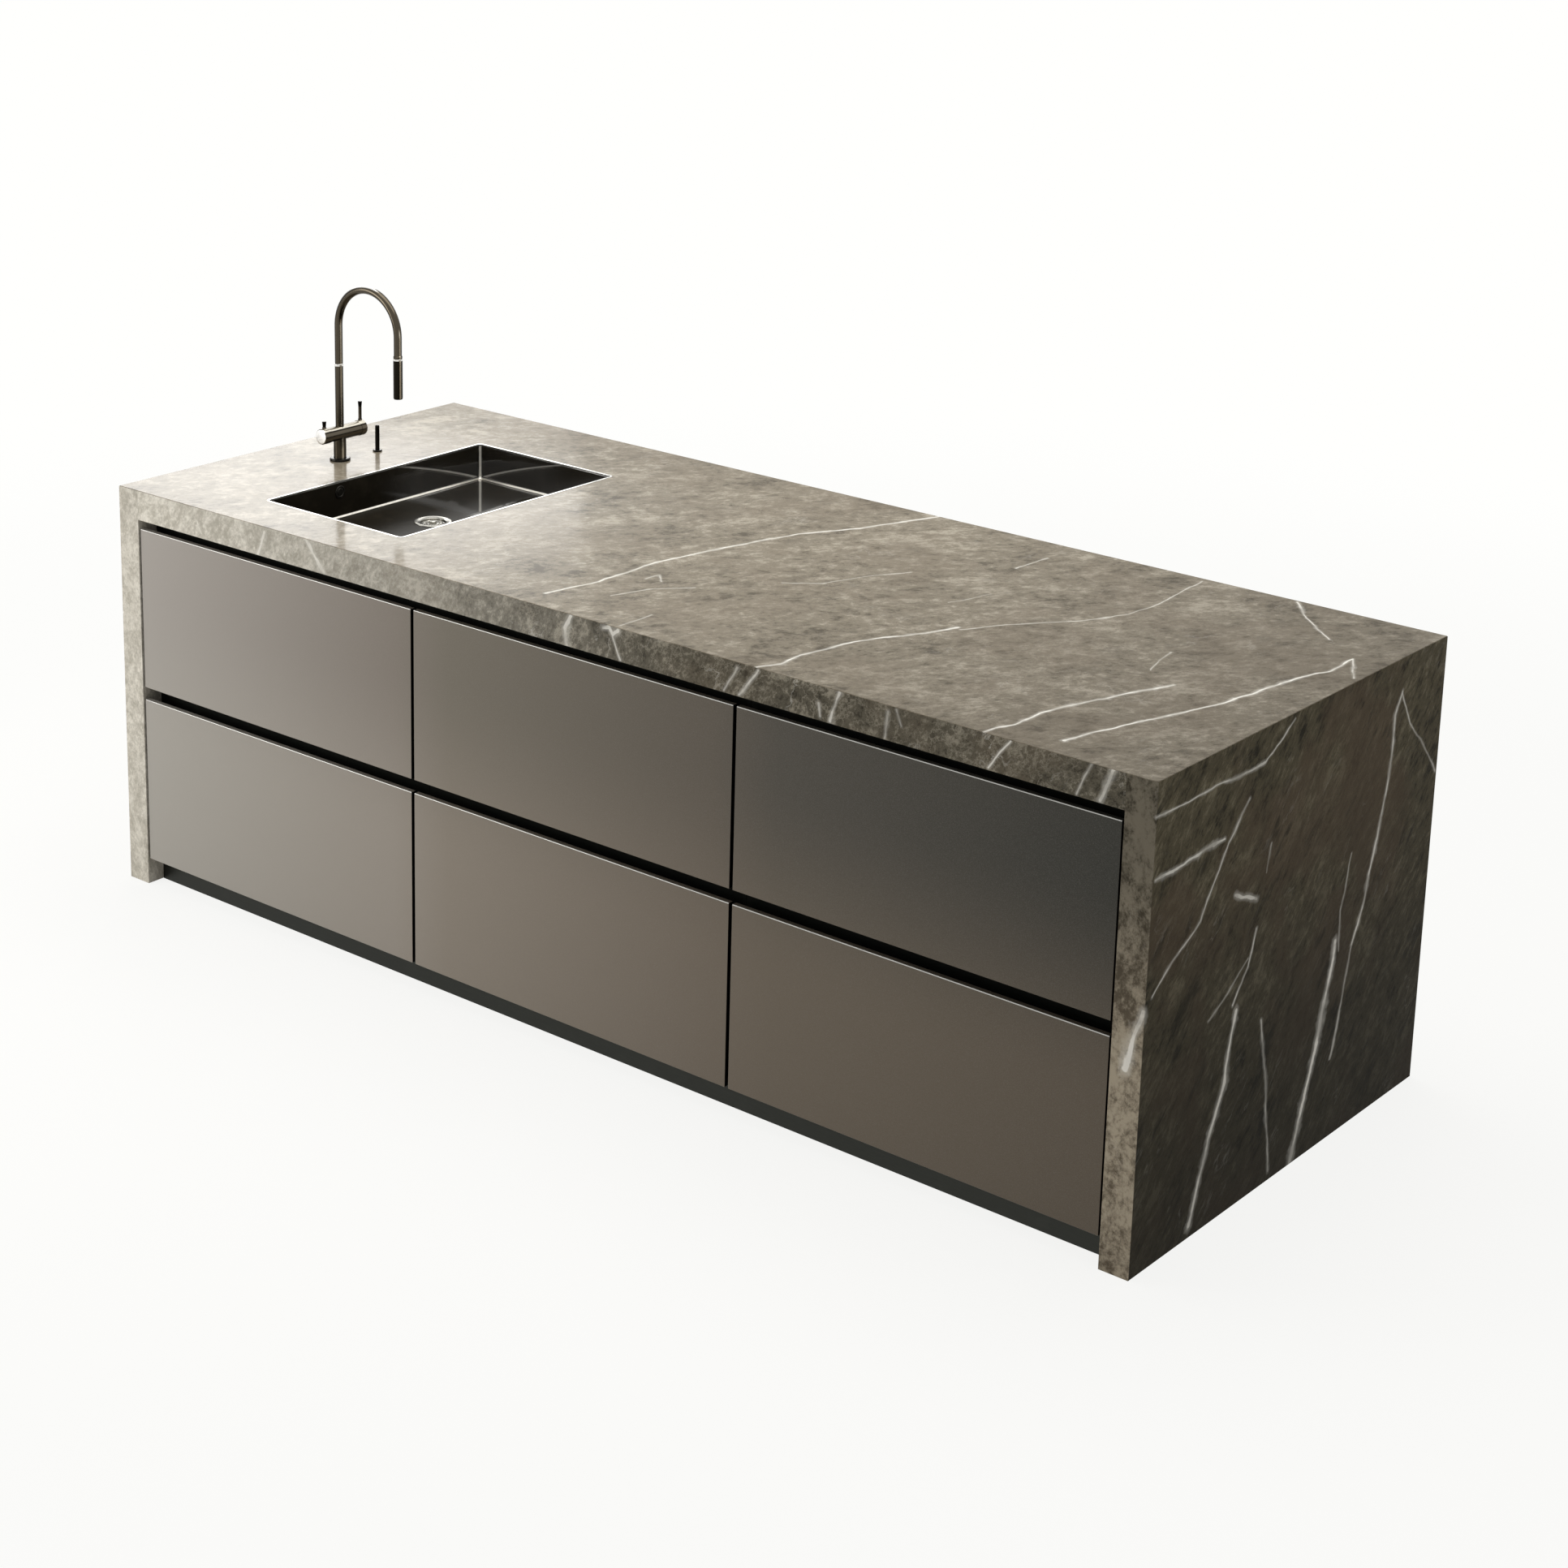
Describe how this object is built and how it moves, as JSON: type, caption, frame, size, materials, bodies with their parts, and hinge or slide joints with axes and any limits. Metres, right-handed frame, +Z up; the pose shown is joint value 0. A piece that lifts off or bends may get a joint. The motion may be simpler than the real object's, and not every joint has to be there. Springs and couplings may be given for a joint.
{
  "type": "kitchen island unit",
  "caption": "Stone-clad kitchen island with waterfall ends, handleless drawers, a shallow flush sink and a swan-neck mixer tap with pull-down spray.",
  "frame": {"origin": "centre of the footprint, on the floor", "axes": "+X along the length, from the sink end to the plain end; +Y from the drawer side to the rear; +Z up"},
  "size_m": [2.6, 1.03, 1.3139],
  "materials": {
    "stone": "satin polished grey-brown marble with fine white veins",
    "lacquer": "satin metallic lacquer on board",
    "board": "dark melamine-faced board",
    "drawer_board": "dark melamine-faced board",
    "dark_aluminium": "dark anodised",
    "runner_steel": "zinc plated",
    "sink_black": "gloss black enamel",
    "polished_steel": "polished",
    "trap_plastic": "smooth",
    "tap_steel": "brushed gunmetal",
    "hose": "braided"
  },
  "bodies": {
    "island": {"worktop": "stone", "front_apron": "stone", "rear_apron": "stone", "left_end_panel": "stone", "right_end_panel": "stone", "packing_frame": "board", "base_frame": "board", "rear_frame": "board", "carcass_left": "board", "carcass_middle": "board", "carcass_right": "board", "plinth_front": "dark_aluminium", "plinth_rear": "dark_aluminium", "top_channel": "dark_aluminium", "middle_channel": "dark_aluminium", "rear_panel_left": "lacquer", "rear_panel_middle": "lacquer", "rear_panel_right": "lacquer", "runner_upper_left_left": "runner_steel", "runner_upper_left_right": "runner_steel", "runner_upper_middle_left": "runner_steel", "runner_upper_middle_right": "runner_steel", "runner_upper_right_left": "runner_steel", "runner_upper_right_right": "runner_steel", "runner_lower_left_left": "runner_steel", "runner_lower_left_right": "runner_steel", "runner_lower_middle_left": "runner_steel", "runner_lower_middle_right": "runner_steel", "runner_lower_right_left": "runner_steel", "runner_lower_right_right": "runner_steel", "sink_bowl": "sink_black", "sink_rim": "polished_steel", "overflow_cover": "polished_steel", "drain_body": "polished_steel", "spout_collar": "polished_steel", "bottle_trap": "trap_plastic", "waste_pipe": "trap_plastic", "tap_base_ring": "tap_steel", "tap_body": "tap_steel", "knob_base": "tap_steel", "tap_nut": "runner_steel"},
    "drawer_upper_left": {"drawer_front_upper_left": "lacquer", "drawer_box_upper_left": "drawer_board"},
    "drawer_upper_middle": {"drawer_front_upper_middle": "lacquer", "drawer_box_upper_middle": "drawer_board"},
    "drawer_upper_right": {"drawer_front_upper_right": "lacquer", "drawer_box_upper_right": "drawer_board"},
    "drawer_lower_left": {"drawer_front_lower_left": "lacquer", "drawer_box_lower_left": "drawer_board"},
    "drawer_lower_middle": {"drawer_front_lower_middle": "lacquer", "drawer_box_lower_middle": "drawer_board"},
    "drawer_lower_right": {"drawer_front_lower_right": "lacquer", "drawer_box_lower_right": "drawer_board"},
    "spout": {"tap_spout": "tap_steel", "spray_hose": "hose"},
    "spray": {"spray_head": "tap_steel"},
    "front_handle": {"lever_front": "tap_steel"},
    "rear_handle": {"lever_rear": "tap_steel"},
    "knob": {"waste_knob": "tap_steel"},
    "plug": {"drain_plug": "polished_steel"}
  },
  "joints": [
    {"name": "slide_upper_left", "type": "slide", "parent": "island", "child": "drawer_upper_left", "axis": [0, -1, 0], "range_m": [0, 0.4]},
    {"name": "slide_upper_middle", "type": "slide", "parent": "island", "child": "drawer_upper_middle", "axis": [0, -1, 0], "range_m": [0, 0.4]},
    {"name": "slide_upper_right", "type": "slide", "parent": "island", "child": "drawer_upper_right", "axis": [0, -1, 0], "range_m": [0, 0.4]},
    {"name": "slide_lower_left", "type": "slide", "parent": "island", "child": "drawer_lower_left", "axis": [0, -1, 0], "range_m": [0, 0.4]},
    {"name": "slide_lower_middle", "type": "slide", "parent": "island", "child": "drawer_lower_middle", "axis": [0, -1, 0], "range_m": [0, 0.4]},
    {"name": "slide_lower_right", "type": "slide", "parent": "island", "child": "drawer_lower_right", "axis": [0, -1, 0], "range_m": [0, 0.4]},
    {"name": "spout_swivel", "type": "hinge", "parent": "island", "child": "spout", "pos_m": [-1.112, -0.04, 1.126], "axis": [0, 0, 1], "range_deg": [-110, 110]},
    {"name": "spray_pull", "type": "slide", "parent": "spout", "child": "spray", "axis": [0, 0, -1], "range_m": [0, 0.15], "stiffness_N_per_m": 20, "springref_m": -0.35, "deforming": ["spray_hose"]},
    {"name": "front_handle_turn", "type": "hinge", "parent": "island", "child": "front_handle", "pos_m": [-1.112, -0.087, 0.968], "axis": [0, -1, 0], "range_deg": [0, 90]},
    {"name": "rear_handle_turn", "type": "hinge", "parent": "island", "child": "rear_handle", "pos_m": [-1.112, 0.0225, 0.968], "axis": [0, -1, 0], "range_deg": [0, 90]},
    {"name": "knob_lift", "type": "slide", "parent": "island", "child": "knob", "axis": [0, 0, 1], "range_m": [0, 0.016]},
    {"name": "plug_lift", "type": "slide", "parent": "island", "child": "plug", "axis": [0, 0, 1], "range_m": [0, 0.008]}
  ],
  "couplings": [
    {"joint": "plug_lift", "follows": "knob_lift", "ratio": 0.5}
  ]
}
